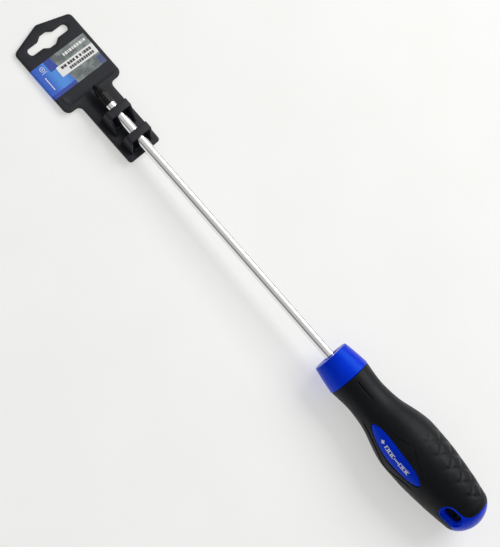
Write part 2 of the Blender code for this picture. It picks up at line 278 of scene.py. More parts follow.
def distance_to(points, path, closed):
    """Shortest distance from each point to a path."""
    path = np.asarray(path, float)
    ends = np.roll(path, -1, axis=0)
    nearest = np.full(len(points), np.inf)
    for a, b in list(zip(path, ends))[:None if closed else -1]:
        along = b - a
        t = np.clip((points - a) @ along / max(along @ along, 1e-12), 0, 1)
        nearest = np.minimum(nearest, np.linalg.norm(points - a - t[:, None] * along, axis=1))
    return nearest


def offset(path, distance, closed):
    """Path moved to its left by a distance."""
    path = np.asarray(path, float)
    if closed:
        along = np.roll(path, -1, axis=0) - np.roll(path, 1, axis=0)
    else:
        along = np.gradient(path, axis=0)
    along /= np.linalg.norm(along, axis=1)[:, None]
    return path + distance * np.stack([-along[:, 1], along[:, 0]], axis=1)


def triangulate(loops, lines, spacing, wanted=None):
    """Triangles inside an odd number of the loops, with edges along the lines.

    Points fill the inside at this spacing. Wanted, where it is given, says which of them stay.
    """
    points = []
    edges = []
    for path, closed in [(loop, True) for loop in loops] + lines:
        first = len(points)
        points.extend(map(tuple, path))
        count = len(path)
        edges += [(first + k, first + (k + 1) % count) for k in range(count if closed else count - 1)]
    tree = KDTree(len(points))
    for k, (x, y) in enumerate(points):
        tree.insert((x, y, 0), k)
    tree.balance()
    low, high = np.min(points, axis=0), np.max(points, axis=0)
    rows = np.arange(low[1], high[1], spacing * sqrt(3) / 2)
    columns = np.arange(low[0], high[0], spacing)
    grid = np.array([(x + spacing / 2 * (j % 2), y) for j, y in enumerate(rows) for x in columns])
    grid = grid[inside(grid, loops)]
    if wanted:
        grid = grid[wanted(grid)]
    for loop in loops:
        grid = grid[distance_to(grid, loop, True) > 0.35 * spacing]
    for x, y in grid:
        if tree.find((x, y, 0))[2] > 0.55 * spacing:
            points.append((x, y))
    vertices, _, faces, _, _, _ = delaunay_2d_cdt([Vector(p) for p in points], edges, [], 0, 1e-5)
    vertices = np.array([tuple(v) for v in vertices])
    faces = np.array([list(face) for face in faces])
    keep = inside(vertices[faces].mean(axis=1), loops)
    return vertices, faces[keep]


def arc(x, y, radius, first, sweep, steps):
    """Points of an arc, with both its ends."""
    angles = [first + sweep * k / steps for k in range(steps + 1)]
    return [(x + radius * cos(a), y + radius * sin(a)) for a in angles]


def rounded(corners, steps):
    """Closed outline whose corners (x, y, radius) become tangent arcs, or stay sharp at radius 0."""
    outline = []
    for i, (x, y, radius) in enumerate(corners):
        if radius == 0:
            outline.append((x, y))
            continue
        corner = Vector((x, y))
        to_last = (Vector(corners[i - 1][:2]) - corner).normalized()
        to_next = (Vector(corners[(i + 1) % len(corners)][:2]) - corner).normalized()
        half = to_last.angle(to_next) / 2
        centre = corner + (to_last + to_next).normalized() * radius / sin(half)
        first = corner + to_last * radius / tan(half) - centre
        last = corner + to_next * radius / tan(half) - centre
        start = atan2(first.y, first.x)
        sweep = atan2(first.x * last.y - first.y * last.x, first.dot(last))
        outline += arc(centre.x, centre.y, radius, start, sweep, steps)
    return outline


def stadium(start, end, half_width, steps):
    """Outline with straight sides along x and half-round ends."""
    far_end = arc(end - half_width, 0, half_width, -pi / 2, pi, steps)
    return far_end + arc(start + half_width, 0, half_width, pi / 2, pi, steps)


def signed_area(outline):
    """Twice the area of a closed outline, positive where it runs anticlockwise."""
    return sum(a[0] * b[1] - b[0] * a[1] for a, b in zip(outline, outline[1:] + outline[:1]))


def resampled(path, spacing, closed):
    """The same path with points at an even spacing."""
    path = np.array([*path, path[0]] if closed else path, float)
    lengths = np.concatenate([[0], np.cumsum(np.linalg.norm(np.diff(path, axis=0), axis=1))])
    count = max(int(lengths[-1] / spacing), 3)
    places = np.linspace(0, lengths[-1], count + 1)
    points = list(zip(np.interp(places, lengths, path[:, 0]), np.interp(places, lengths, path[:, 1])))
    return points[:-1] if closed else points


# Handle surfaces

def curve_through(knots, slopes, x):
    """Smooth cubic through knots (x, y) with these slopes."""
    i = np.clip(np.searchsorted(knots[:, 0], x) - 1, 0, len(knots) - 2)
    (x0, y0), (x1, y1) = knots[i].T, knots[i + 1].T
    width = x1 - x0
    t = np.clip((x - x0) / width, 0, 1)
    bends = slopes[i] * t * (1 - t) ** 2 + slopes[i + 1] * t * t * (t - 1)
    return y0 + (y1 - y0) * ease(t) + width * bends


PALM = np.array(PALM_STATIONS)
BEFORE = np.concatenate([PALM[:1], PALM[:-1]])
AFTER = np.concatenate([PALM[1:], PALM[-1:]])
PALM_SLOPES = (AFTER - BEFORE)[:, 1] / (AFTER - BEFORE)[:, 0]


def palm_radius(x):
    """Radius of the palm, and of the blunt dome that ends it."""
    if x < DOME_START:
        return float(curve_through(PALM, PALM_SLOPES, x))
    part = min((x - DOME_START) / (HANDLE_LENGTH - DOME_START), 1)
    return PALM_STATIONS[-1][1] * (1 - part ** DOME_POWER) ** (1 / DOME_POWER)


# The handle is laid out flat as (u, v): u runs along its profile and v round it.
ROUND = 16.0  # v of one radian
HALF_TURN = ROUND * pi / 2
TABLE_X = np.concatenate([np.arange(COLLAR_LENGTH, DOME_START, 0.1),
                          DOME_START + (HANDLE_LENGTH - DOME_START) * np.sin(np.linspace(0, pi / 2, 300))])
TABLE_R = np.array([palm_radius(x) for x in TABLE_X])
TABLE_U = np.concatenate([[0], np.cumsum(np.hypot(np.diff(TABLE_X), np.diff(TABLE_R)))]) + COLLAR_LENGTH


def u_of(x):
    return np.interp(x, TABLE_X, TABLE_U)


def x_of(u):
    return np.interp(u, TABLE_U, TABLE_X)


def radius_at(x):
    return np.interp(x, TABLE_X, TABLE_R)


def laid_flat(outline):
    """Outline seen square on as (x, y), laid on the upper half of the handle as (u, v)."""
    return [(float(u_of(x)), ROUND * asin(max(-1, min(1, y / float(radius_at(x)))))) for x, y in outline]


def badge_outline():
    angles = np.linspace(0, 2 * pi, 400, endpoint=False)
    points = [(BADGE_CENTRE + BADGE_HALF_LENGTH * cos(a), BADGE_HALF_WIDTH * sin(a)) for a in angles]
    return resampled(laid_flat(points), OUTLINE_SPACING, True)


def bezier(a, b, c, d):
    steps = 24
    points = []
    for k in range(steps + 1):
        t = k / steps
        weights = ((1 - t) ** 3, 3 * t * (1 - t) ** 2, 3 * t * t * (1 - t), t ** 3)
        points.append(tuple(sum(w * p[i] for w, p in zip(weights, (a, b, c, d))) for i in (0, 1)))
    return points


def butt_edge():
    """Line where the grip ends, over the upper half: round the slot's rim, then straight across."""
    nose_centre = TONGUE_START + TONGUE_HALF_WIDTH
    half = [(nose_centre - TONGUE_HALF_WIDTH * cos(a), TONGUE_HALF_WIDTH * sin(a))
            for a in np.linspace(0, pi / 2, 24)]
    half += bezier((111.5, TONGUE_HALF_WIDTH), (114.6, TONGUE_HALF_WIDTH), (117.6, 7.0), (GRIP_END, 10.6))
    flat = laid_flat(half) + [(float(u_of(GRIP_END)), HALF_TURN)]
    flat = resampled(flat, OUTLINE_SPACING, False)
    flat[0] = (flat[0][0], 0.0)
    return [(u, -v) for u, v in flat[:0:-1]] + flat


def groove_outline(turn, grow):
    """Edge of a neck groove at this angle round the handle, grown by grow."""
    outline = stadium(GROOVE_START - grow, GROOVE_START + GROOVE_LENGTH + grow, GROOVE_HALF_WIDTH + grow, 6)
    straight = resampled(outline, 0.4, True)
    return [(float(u_of(x)), ROUND * (turn + y / float(radius_at(x)))) for x, y in straight]


def panel_line(side, shift):
    """Edge of a raised side panel, moved away from the badge by shift."""
    xs = np.arange(PANEL_EDGE[0][0], PANEL_EDGE[-1][0], 0.5)
    widths = panel_width(xs) + shift
    return [(float(u_of(x)), side * ROUND * float(w / radius_at(x))) for x, w in zip(xs, widths)]


def panel_width(x):
    """Half width of the middle band between the raised panels."""
    knots = np.array(PANEL_EDGE)
    return curve_through(knots, np.gradient(knots[:, 1], knots[:, 0]), x)


def scale_height(x, turn):
    """Pointed overlapping scales on both flanks."""
    across = np.abs(np.abs(turn) - pi / 2) / SCALE_TURN
    total = np.zeros_like(x)
    for row in (0, 1, 2):
        along = (x - SCALE_FIRST - SCALE_PITCH / 2 * (row % 2)) / SCALE_PITCH
        along -= np.round(along)
        middle = 1 - (np.abs(along) * 2 + np.abs(across - row))
        leaning = 0.75 + 0.5 * (along + 0.5)
        total = np.maximum(total, smooth_step(0.0, 0.5, middle) * leaning)
    reach = 0.2 * smooth_step(2.3, 1.5, across) + 0.8 * smooth_step(1.45, 0.95, across)
    ends = smooth_step(*SCALE_FADE_IN, x) * smooth_step(*SCALE_FADE_OUT, x)
    return SCALE_HEIGHT * (total - 0.5) * reach * ends


def lip(distance, radius):
    """How far a rounded edge has fallen at a distance from where it ends."""
    near = np.clip(radius - distance, 0, radius)
    return radius - np.sqrt(np.maximum(radius ** 2 - near ** 2, 0))


def grip_radius(flat, edges):
    """Outer radius of the grip at flat points, with its lips, grooves, panels and scales."""
    x = x_of(flat[:, 0])
    turn = flat[:, 1] / ROUND
    radius = radius_at(x)
    arc = np.abs(turn) * radius
    past_edge = panel_width(x) - arc
    fade = smooth_step(*PANEL_FADE_IN, x) * smooth_step(*PANEL_FADE_OUT, x)
    recovery = 0.25 + 0.75 * np.exp(-(np.maximum(past_edge, 0) / 4.5) ** 2)
    step = smooth_step(-0.3, 0.6, past_edge) * recovery
    valley = PANEL_VALLEY * np.maximum(1 - np.abs(past_edge - 0.15) / 0.45, 0)
    surface = radius - fade * (PANEL_STEP * step + valley) + scale_height(x, turn)
    for edge, closed in edges:
        surface -= lip(distance_to(flat, edge, closed), LIP)
    middle = GROOVE_START + GROOVE_LENGTH / 2
    along = np.maximum(np.abs(x - middle) - GROOVE_LENGTH / 2 + GROOVE_HALF_WIDTH, 0)
    sideways = np.abs(np.abs(turn) - pi / 4) * radius
    from_groove = np.hypot(along, sideways) - GROOVE_HALF_WIDTH
    in_groove = from_groove < -0.03
    surface = np.where(in_groove, GROOVE_FLOOR, surface)
    return surface - lip(np.where(in_groove, 1, from_groove + 0.02), 0.2)


def on_handle(flat, radius):
    """Points of the handle at flat places and radii."""
    x = x_of(flat[:, 0])
    turn = flat[:, 1] / ROUND
    return np.stack([x, radius * np.sin(turn), radius * np.cos(turn)], axis=1)


def both_halves(shape, points, faces):
    """The handle's lower half is its upper half turned about x."""
    for side in (1, -1):
        shape.add((points * (1, side, side)).tolist(), faces.tolist())


def open_edges(faces):
    """Edges that only one triangle uses."""
    sides = np.sort(np.concatenate([faces[:, [0, 1]], faces[:, [1, 2]], faces[:, [2, 0]]]), axis=1)
    unique, counts = np.unique(sides, axis=0, return_counts=True)
    return unique[counts == 1]


def seam_places(start, end, spacing):
    return [float(u) for u in np.linspace(start, end, int((end - start) / spacing) + 1)]


def make_grip(material):
    spacing = 0.62
    front = float(u_of(COLLAR_LENGTH + MOULD_GAP))
    rear = butt_edge()
    seam = [(u, -HALF_TURN) for u in seam_places(front, rear[0][0], spacing)]
    across = [(front, float(v)) for v in np.linspace(HALF_TURN, -HALF_TURN, 81)]
    outline = seam[:-1] + rear + [(u, -v) for u, v in seam[-2:0:-1]] + across[:-1]
    badge = badge_outline()
    lines = []
    for into_lip in (0.05, 0.14, 0.26, 0.4):
        lines.append((offset(rear, into_lip, False), False))
        lines.append((offset(badge, -into_lip, True), True))
        lines.append(([(front + into_lip, v) for _, v in across], False))
    for turn in (-pi / 4, pi / 4):
        lines += [(groove_outline(turn, grow), True) for grow in (0.18, 0.06, 0.0, -0.06)]
    for side in (-1, 1):
        lines += [(panel_line(side, shift), False) for shift in (0.3, -0.15, -0.6)]
    flat, faces = triangulate([outline, badge], lines, spacing)
    edges = [(rear, False), (badge, True), (across, False)]
    outer = on_handle(flat, grip_radius(flat, edges))
    inner_flat, inner_faces = triangulate([outline, badge], [], HIDDEN_SPACING)
    inner = on_handle(inner_flat, radius_at(x_of(inner_flat[:, 0])) - GRIP_WALL)
    shape = Shape()
    both_halves(shape, outer, faces)
    both_halves(shape, inner, inner_faces)
    for a, b in open_edges(faces):
        on_seam = abs(abs(flat[a][1]) - HALF_TURN) < 1e-4 and abs(flat[a][1] - flat[b][1]) < 1e-4
        if on_seam:
            continue
        ends = flat[[a, b]]
        low = on_handle(ends, radius_at(x_of(ends[:, 0])) - GRIP_WALL)
        wall = np.array([outer[a], outer[b], low[1], low[0]])
        both_halves(shape, wall, np.array([[0, 1, 2, 3]]))
    grip = add_piece("grip_sleeve", shape, HANDLE, [material], 40)
    return belongs(grip, "driver", "grip_rubber", "grip")


def mouth_outline(flare):
    """Outline of the hanging slot, grown by flare."""
    return stadium(SLOT_CENTRE - SLOT_HALF_LENGTH - flare, SLOT_CENTRE + SLOT_HALF_LENGTH + flare,
                   SLOT_HALF_WIDTH + flare, 20)


def behind(rear):
    """The area past the grip's end, closed well outside the laid-out handle."""
    past_seam = HALF_TURN + 5
    past_butt = TABLE_U[-1] + 5
    return [(rear[0][0], -past_seam), *rear, (rear[0][0], past_seam), (past_butt, past_seam),
            (past_butt, -past_seam)]


def shell_radius(flat, badge, rear, mouth):
    """Radius of the hard moulding: badge and butt stand up through the grip, and the rest is hidden."""
    x = x_of(flat[:, 0])
    radius = radius_at(x)
    in_badge = inside(flat, [badge])
    in_butt = inside(flat, [behind(rear)])
    to_badge = distance_to(flat, badge, True)
    to_butt = distance_to(flat, rear, False)
    spine = radius - GRIP_WALL - MOULD_GAP
    crown = BADGE_CROWN * smooth_step(0, CROWN_RISE, to_badge)
    pad = radius - BADGE_SINK + crown - lip(to_badge - MOULD_GAP, 0.45)
    butt = radius - lip(to_butt - MOULD_GAP, 0.4) - lip(distance_to(flat, mouth, True), RIM_DROP)
    surface = np.where(in_badge & (to_badge > 0.7 * MOULD_GAP), pad, spine)
    return np.where(in_butt & (to_butt > 0.7 * MOULD_GAP), butt, surface)


def collar_profile():
    """Turned part of the shell, from the end of the hidden cavity round the collar to the spine."""
    cavity = [(80.3, 0), (80.3, 5.2), (78.3, 6.7), (12.7, 6.7), (11.7, 4.5), (0.35, 4.5), (0.1, 4.6)]
    front_edge = 0.7
    profile = cavity + [(0, 4.85), (0, COLLAR_FRONT - front_edge)]
    for k in range(1, 6):
        angle = pi / 2 * k / 6
        profile.append((front_edge * (1 - cos(angle)), COLLAR_FRONT - front_edge * (1 - sin(angle))))
    rear_edge = 0.5
    for k in range(13):
        t = k / 12
        x = front_edge + (COLLAR_LENGTH - front_edge - rear_edge) * t
        profile.append((x, COLLAR_FRONT + (COLLAR_REAR - COLLAR_FRONT) * t + COLLAR_BULGE * sin(pi * t)))
    for k in range(1, 7):
        angle = pi / 2 * k / 6
        x = COLLAR_LENGTH - rear_edge * (1 - sin(angle))
        profile.append((x, COLLAR_REAR - rear_edge * (1 - cos(angle))))
    return profile + [(COLLAR_LENGTH, palm_radius(COLLAR_LENGTH) - GRIP_WALL - MOULD_GAP)]


def turned_rings(profile):
    turns = [2 * pi * k / ROUND_STEPS for k in range(ROUND_STEPS)]
    return [[(x, r * sin(a), r * cos(a)) for a in turns] if r else [(x, 0, 0)] for x, r in profile]


def make_shell(material):
    spacing = 0.6
    badge = badge_outline()
    rear = butt_edge()
    start, end = COLLAR_LENGTH, float(u_of(PATCH_END))
    places = seam_places(start, end, 2 * spacing)
    seam = [(u, -HALF_TURN) for u in places]
    round_steps = np.linspace(-HALF_TURN, HALF_TURN, ROUND_STEPS // 2 + 1)
    last = [(end, float(v)) for v in round_steps]
    front = [(start, float(v)) for v in round_steps[::-1]]
    outline = seam[:-1] + last + [(u, HALF_TURN) for u in places[-2:0:-1]] + front[:-1]
    mouth = laid_flat(mouth_outline(MOUTH_FLARE))
    lines = []
    for into_pad in (0.5 * MOULD_GAP, MOULD_GAP, 0.16, 0.26, 0.4, 0.56):
        lines.append((offset(badge, into_pad, True), True))
        lines.append((offset(rear, -into_pad, False), False))
    lines += [(laid_flat(mouth_outline(MOUTH_FLARE + grow)), True) for grow in (0.06, 0.16, 0.3)]
    butt_loop = behind(rear)

    def in_view_or_sparse(grid):
        """Every point of the badge and the butt, and one in 14 of the hidden spine's."""
        in_view = inside(grid, [badge]) | inside(grid, [butt_loop])
        return in_view | (np.arange(len(grid)) % 14 == 0)

    flat, faces = triangulate([outline, mouth], lines, spacing, in_view_or_sparse)
    surface = on_handle(flat, shell_radius(flat, badge, rear, mouth))
    shape = Shape()
    both_halves(shape, surface, faces)
    shape.rings(turned_rings(collar_profile()))
    dome = [(x_of(u), radius_at(x_of(u))) for u in np.linspace(end, TABLE_U[-1], 14)[:-1]]
    shape.rings(turned_rings(dome + [(HANDLE_LENGTH, 0)]))
    add_slot(shape)
    shell = add_piece("handle_shell", shape, HANDLE, [material], 40)
    return belongs(shell, "driver", "blue_plastic", "handle_body")


def add_slot(shape):
    """Walls of the slot through the butt, funnelled at both mouths."""
    rim = np.array(laid_flat(mouth_outline(MOUTH_FLARE)))
    rim = on_handle(rim, radius_at(x_of(rim[:, 0])) - RIM_DROP)
    upper = [[tuple(point) for point in rim]]
    funnel = ((1.2, 0.6), (1.0, 1.05), (0.6, 1.6), (0.15, 2.1), (-0.25, 2.6), (-0.52, 3.2), (-THROAT, 4.0))
    for flare, drop in funnel:
        outline = mouth_outline(flare)
        upper.append([(x, y, sqrt(float(radius_at(x)) ** 2 - y ** 2) - drop) for x, y in outline])
    upper += [[(x, y, z) for x, y in mouth_outline(-THROAT)] for z in (8.0, 5.0, 2.0)]
    lower = [[(x, y, -z) for x, y, z in ring] for ring in upper[::-1]]
    shape.rings(upper + lower)


def badge_height(x, y):
    """Height of the badge's face above the handle's axis, with most of its crown."""
    return sqrt(float(radius_at(x)) ** 2 - y * y) - BADGE_SINK + 0.1


def make_decal(name, outlines, height, place, material, lift=0.02, thickness=PRINT,
               spacing=OUTLINE_SPACING):
    """Thin printed marks that follow a surface. Outlines lie in x and y, one inside another for a ring."""
    shape = Shape()
    for loops in outlines:
        loops = [resampled(loop, OUTLINE_SPACING, True) for loop in loops]
        flat, faces = triangulate(loops, [], spacing)
        top = [(x, y, height(x, y) + lift + thickness) for x, y in flat]
        bottom = [(x, y, height(x, y) + lift) for x, y in flat]
        shape.add(top, faces.tolist())
        shape.add(bottom, faces.tolist())
        for a, b in open_edges(faces):
            shape.face([top[a], top[b], bottom[b], bottom[a]])
    return add_piece(name, shape, place, [material], 50)


def bar(x0, x1, y0, y1):
    """Rectangular outline."""
    return [(x0, y0), (x1, y0), (x1, y1), (x0, y1)]


def circle(centre, radius):
    return arc(*centre, radius, 0, 2 * pi, 32)[:-1]


def badge_marks():
    """A plain cross, then three groups of short strokes. They spell nothing."""
    arm, half = 1.25, 0.36
    cross = [(-arm, -half), (-half, -half), (-half, -arm), (half, -arm), (half, -half), (arm, -half),
             (arm, half), (half, half), (half, arm), (-half, arm), (-half, half), (-arm, half)]
    cross_x, x = 53.6, 56.4
    pitch, width = 1.0, 0.62
    outlines = [[[(cross_x + dx, dy) for dx, dy in cross]]]
    for count, reach in ((8, 1.3), (4, 0.55), (8, 1.3)):
        for k in range(count):
            if reach > 1 and k % 3 == 1:
                for middle in (-0.8 * reach, 0.8 * reach):
                    outlines.append([bar(x, x + width, middle - 0.3, middle + 0.3)])
            else:
                outlines.append([bar(x, x + width, -reach, reach)])
            x += pitch
    return outlines


def make_badge_marks(material):
    for side, turn in (("upper", 0), ("lower", pi)):
        place = HANDLE @ Matrix.Rotation(turn, 4, "X")
        marks = make_decal("badge_marks_" + side, badge_marks(), badge_height, place, material)
        belongs(marks, "driver", "sticker_paper")


# Blade

def blade_radius(x, turn):
    """Distance from the axis to the blade's surface, x measured from the tip."""
    fold = abs((turn + pi / 4) % (pi / 2) - pi / 4)
    cone = min(BLADE_RADIUS, TIP_RADIUS + (BLADE_RADIUS - TIP_RADIUS) * x / CONE_LENGTH)
    half = WING_HALF + WING_GROWTH * x
    flute = half / max(sin(fold), 1e-3)
    root = half * sqrt(2) * 1.1
    in_root = max(0.0, 1 - abs(fold - pi / 4) / RIB_HALF_ANGLE)
    rib = RIB_HEIGHT * in_root * max(0.0, 1 - x / RIB_LENGTH)
    run_out = max(0.0, min(1.0, (x - FLUTE_LENGTH + 1.0) / 1.2))
    fluted = max(flute, root) + rib + (BLADE_RADIUS * 1.2) * run_out ** 2
    return min(cone, fluted)


def key_radius(turn):
    """Section through the pressed key wings of the hidden tang."""
    across, up = abs(cos(turn)), abs(sin(turn))
    return max(BLADE_RADIUS, min(KEY_REACH / max(across, 1e-6), KEY_HALF / max(up, 1e-6)))


def make_blade(chrome, black):
    """The whole bar, with its rings close together over the point."""
    steps = 144
    turns = [2 * pi * k / steps for k in range(steps)]
    chamfer = 0.5
    step_width = 0.02

    def ring(x, radius_of):
        return [(x, radius_of(a) * cos(a), radius_of(a) * sin(a)) for a in turns]

    rings = [[(-BLADE_LENGTH, 0, 0)], ring(-BLADE_LENGTH, lambda a: POINT_SHARE * blade_radius(0, a))]
    places = [0.12] + [0.3 * k for k in range(1, 36)] + [11.4, BLACK_LENGTH]
    places += list(np.linspace(BLACK_LENGTH, BLADE_LENGTH + KEY_START, 40))[1:]
    for x in places:
        rings.append(ring(x - BLADE_LENGTH, lambda a: blade_radius(x, a)))
    for x in (KEY_START + step_width, KEY_START + KEY_LENGTH):
        rings.append(ring(x, key_radius))
    for x, r in ((KEY_START + KEY_LENGTH + step_width, BLADE_RADIUS), (TANG_LENGTH - chamfer, BLADE_RADIUS),
                 (TANG_LENGTH, BLADE_RADIUS - chamfer)):
        rings.append(ring(x, lambda a: r))
    rings.append([(TANG_LENGTH, 0, 0)])
    shape = Shape()
    shape.rings(rings)
    blade = add_piece("blade_visual", shape, TOOL, [chrome, black], 28)
    limit = (BLACK_LENGTH - BLADE_LENGTH) * MM
    for face in blade.data.polygons:
        face.material_index = 1 if face.center.x < limit else 0
    return belongs(blade, "driver", "blade_steel", "blade")


# Hanger

def card_outline():
    upper = [(CARD_APEX, 0, 3), (CARD_SHOULDER, CARD_HALF_WIDTH, 3), (CARD_NECK, CARD_HALF_WIDTH, 4),
             (CARD_NECK, STEM_HALF_WIDTH, 3), (STEM_END, STEM_HALF_WIDTH, 1.8)]
    lower = [(x, -y, radius) for x, y, radius in upper[:0:-1]]
    return rounded(upper + lower, 10)


def peg_outline():
    half = [(PEG_HALF_WIDTH, PEG_HALF_LENGTH, PEG_HALF_WIDTH * 0.95), (PEG_HALF_WIDTH, 5.6, 1.5),
            (PEG_BULGE, 2.3, 2)]
    side = half + [(x, -y, r) for x, y, r in half[::-1]]
    both = side + [(-x, -y, r) for x, y, r in side]
    return rounded([(PEG_CENTRE + x, y, radius) for x, y, radius in both], 10)


def step_line():
    """Centre line of the shallow ridge: across the card, with its far end turned back."""
    y = STEP_HALF_LENGTH
    return [(STEP_PLACE, y), (STEP_PLACE, 4 - y), (STEP_PLACE - 0.7, 1.6 - y), (STEP_PLACE - 2.6, 0.2 - y),
            (STEP_PLACE - 6, -y)]


def make_card(material):
    """The flat tag with softly rounded edges, its peg hole and its ridge."""
    outline = resampled(card_outline(), 0.9, True)
    inward = 1 if signed_area(outline) > 0 else -1
    peg = resampled(peg_outline(), 0.7, True)
    outward = -1 if signed_area(peg) > 0 else 1
    bevel = [(CARD_EDGE * (1 - sin(a)), CARD_EDGE * (1 - cos(a))) for a in np.linspace(0, pi / 2, 5)]
    shape = Shape()
    for loop, side in ((outline, inward), (peg, outward)):
        rings = []
        for inset, fall in bevel:
            ring = offset(loop, side * inset, True)
            rings.append([(float(x), float(y), CARD_TOP - fall) for x, y in ring])
        lower = [[(x, y, 2 * CARD_TOP - CARD_THICKNESS - z) for x, y, z in ring] for ring in rings[::-1]]
        shape.rings(rings + lower)
    loops = [offset(outline, inward * CARD_EDGE, True), offset(peg, outward * CARD_EDGE, True)]
    path = resampled(step_line(), 0.5, False)
    lines = [(offset(path, d, False), False) for d in (-0.5, -0.22, 0.0, 0.22, 0.5)]
    flat, faces = triangulate(loops, lines, CARD_SPACING)
    ridge = STEP_HEIGHT * smooth_step(0.5, 0.05, distance_to(flat, path, False))
    shape.add([(x, y, CARD_TOP + h) for (x, y), h in zip(flat, ridge)], faces.tolist())
    plain, plain_faces = triangulate(loops, [], CARD_SPACING)
    shape.add([(x, y, CARD_TOP - CARD_THICKNESS) for x, y in plain], plain_faces.tolist())
    return add_piece("hanger_card", shape, TOOL, [material], 40)


def prism(name, outline, low, high, axis):
    """Prism along x or y with rounded edges, ready to be joined to the card."""
    shape = Shape()
    ends = []
    for place in (low, high):
        ends.append([(place, a, b) if axis == "x" else (a, place, b) for a, b in outline])
    shape.rings(ends)
    shape.face(ends[0])
    shape.face(ends[1])
    piece = add_piece(name, shape, TOOL, [], 30)
    bevel = piece.modifiers.new("soft_edges", "BEVEL")
    bevel.width = 0.35 * MM
    bevel.segments = 3
    bevel.limit_method = "ANGLE"
    bevel.angle_limit = radians(40)
    return piece


def strap_parts(start, gusset):
    """Arch over the blade, its two sloping side walls and the saddle rib that the blade rests on."""
    root = CARD_TOP - 1
    end = start + gusset
    span, leg = STRAP_HALF_SPAN, LEG_THICKNESS
    arch = [(-span, root), (-span, STRAP_TOP), (span, STRAP_TOP), (span, root)]
    opening = [(span - leg, root), (span - leg, STRAP_UNDERSIDE), (leg - span, STRAP_UNDERSIDE),
               (leg - span, root)]
    radii = (0, SHOULDER_RADIUS, SHOULDER_RADIUS, 0, 0, 0.8, 0.8, 0)
    arch = rounded([(y, z, r) for (y, z), r in zip(arch + opening, radii)], 6)
    parts = [prism("strap_arch", arch, start, start + STRAP_WIDTH, "x")]
    wall_top = STRAP_TOP - SHOULDER_RADIUS + 0.2
    wall = [(start + 1, root), (start + 1, wall_top), (start + STRAP_WIDTH + 0.3, wall_top),
            (end, CARD_TOP + 0.6), (end, root)]
    wall = rounded([(x, z, r) for (x, z), r in zip(wall, (0, 0, 1.6, 0.5, 0))], 5)
    for side in (-1, 1):
        low, high = sorted((side * (span - 0.06), side * (span - leg + 0.06)))
        parts.append(prism("strap_wall", wall, low, high, "y"))
    saddle_start = end - 4.2 + (0.2 if gusset > 10 else 2.6)
    saddle_top = -BLADE_RADIUS - 0.3
    saddle = bar(saddle_start, saddle_start + SADDLE_WIDTH, saddle_top, root)
    parts.append(prism("saddle_rib", saddle, -SADDLE_HALF_SPAN, SADDLE_HALF_SPAN, "y"))
    return parts


def make_hanger(material):
    card = make_card(material)
    parts = []
    for start, gusset in zip(STRAP_STARTS, GUSSET_LENGTHS):
        parts += strap_parts(start, gusset)
    for part in parts:
        union = card.modifiers.new("union", "BOOLEAN")
        union.operation = "UNION"
        union.solver = "EXACT"
        union.object = part
    bpy.context.view_layer.update()
    joined = bpy.data.meshes.new_from_object(card.evaluated_get(bpy.context.evaluated_depsgraph_get()))
    card.modifiers.clear()
    card.data = joined
    joined.shade_smooth()
    joined.set_sharp_from_angle(angle=radians(32))
    for part in parts:
        bpy.data.objects.remove(part)
    return belongs(card, "hanger", "hanger_plastic", "hanger")


# Label

def make_label(material):
    """Film stuck round one long edge of the card."""
    top = CARD_TOP + FILM_LIFT
    bottom = CARD_TOP - CARD_THICKNESS - FILM_LIFT
    bend = CARD_EDGE + FILM_LIFT
    edge = -CARD_HALF_WIDTH - FILM_LIFT

    def path(grow):
        points = [(y, top + grow) for y in np.linspace(LABEL_EDGE, edge + bend, 30)]
        for centre_z, first in ((top - bend, pi / 2), (bottom + bend, pi)):
            points += arc(edge + bend, centre_z, bend + grow, first, pi / 2, 8)[1:]
        return points + [(y, bottom - grow) for y in np.linspace(edge + bend, LABEL_EDGE, 30)[1:]]

    section = path(FILM) + path(0)[::-1]
    rings = [[(x, float(y), float(z)) for y, z in section]
             for x in np.linspace(LABEL_START, LABEL_START + LABEL_WIDTH, 12)]
    shape = Shape()
    shape.rings(rings)
    half = len(section) // 2
    for ring in (rings[0], rings[-1]):
        outer, inner = ring[:half], ring[half:][::-1]
        for k in range(half - 1):
            shape.face([outer[k], outer[k + 1], inner[k + 1], inner[k]])
    label = add_piece("label_wrap", shape, TOOL, [material], 40)
    return belongs(label, "hanger", "label_film", "label")


LABEL_SURFACE = CARD_TOP + FILM_LIFT + FILM


def make_label_marks(white):
    """Generic marks in place of print: a row of strokes, a dot in a ring, a line and a row of dashes."""
    outlines = []
    row_x, row_height, gap = -225.7, 1.7, 0.48
    y = 17.2
    for width in (1.3, 0.6, 1.7, 1.4, 1.5, 1.0, 1.6, 0.7, 1.5, 1.1):
        outlines.append([bar(row_x, row_x + row_height, y - width, y)])
        y -= width + gap
    outlines.append([circle(SIGN_PLACE, 1.5), circle(SIGN_PLACE, 1.2)])
    outlines.append([circle(SIGN_PLACE, 0.45)])
    outlines.append([bar(-223.1, -222.85, -17.2, -13.1)])
    dash_x, dash_length, pitch = -220.5, 1.2, 1.45
    for k in range(6):
        start = dash_x + pitch * k
        outlines.append([bar(start, start + dash_length, -17.3, -16.65)])
    marks = make_decal("label_marks", outlines, lambda x, y: LABEL_SURFACE, TOOL, white)
    belongs(marks, "hanger", "sticker_paper")


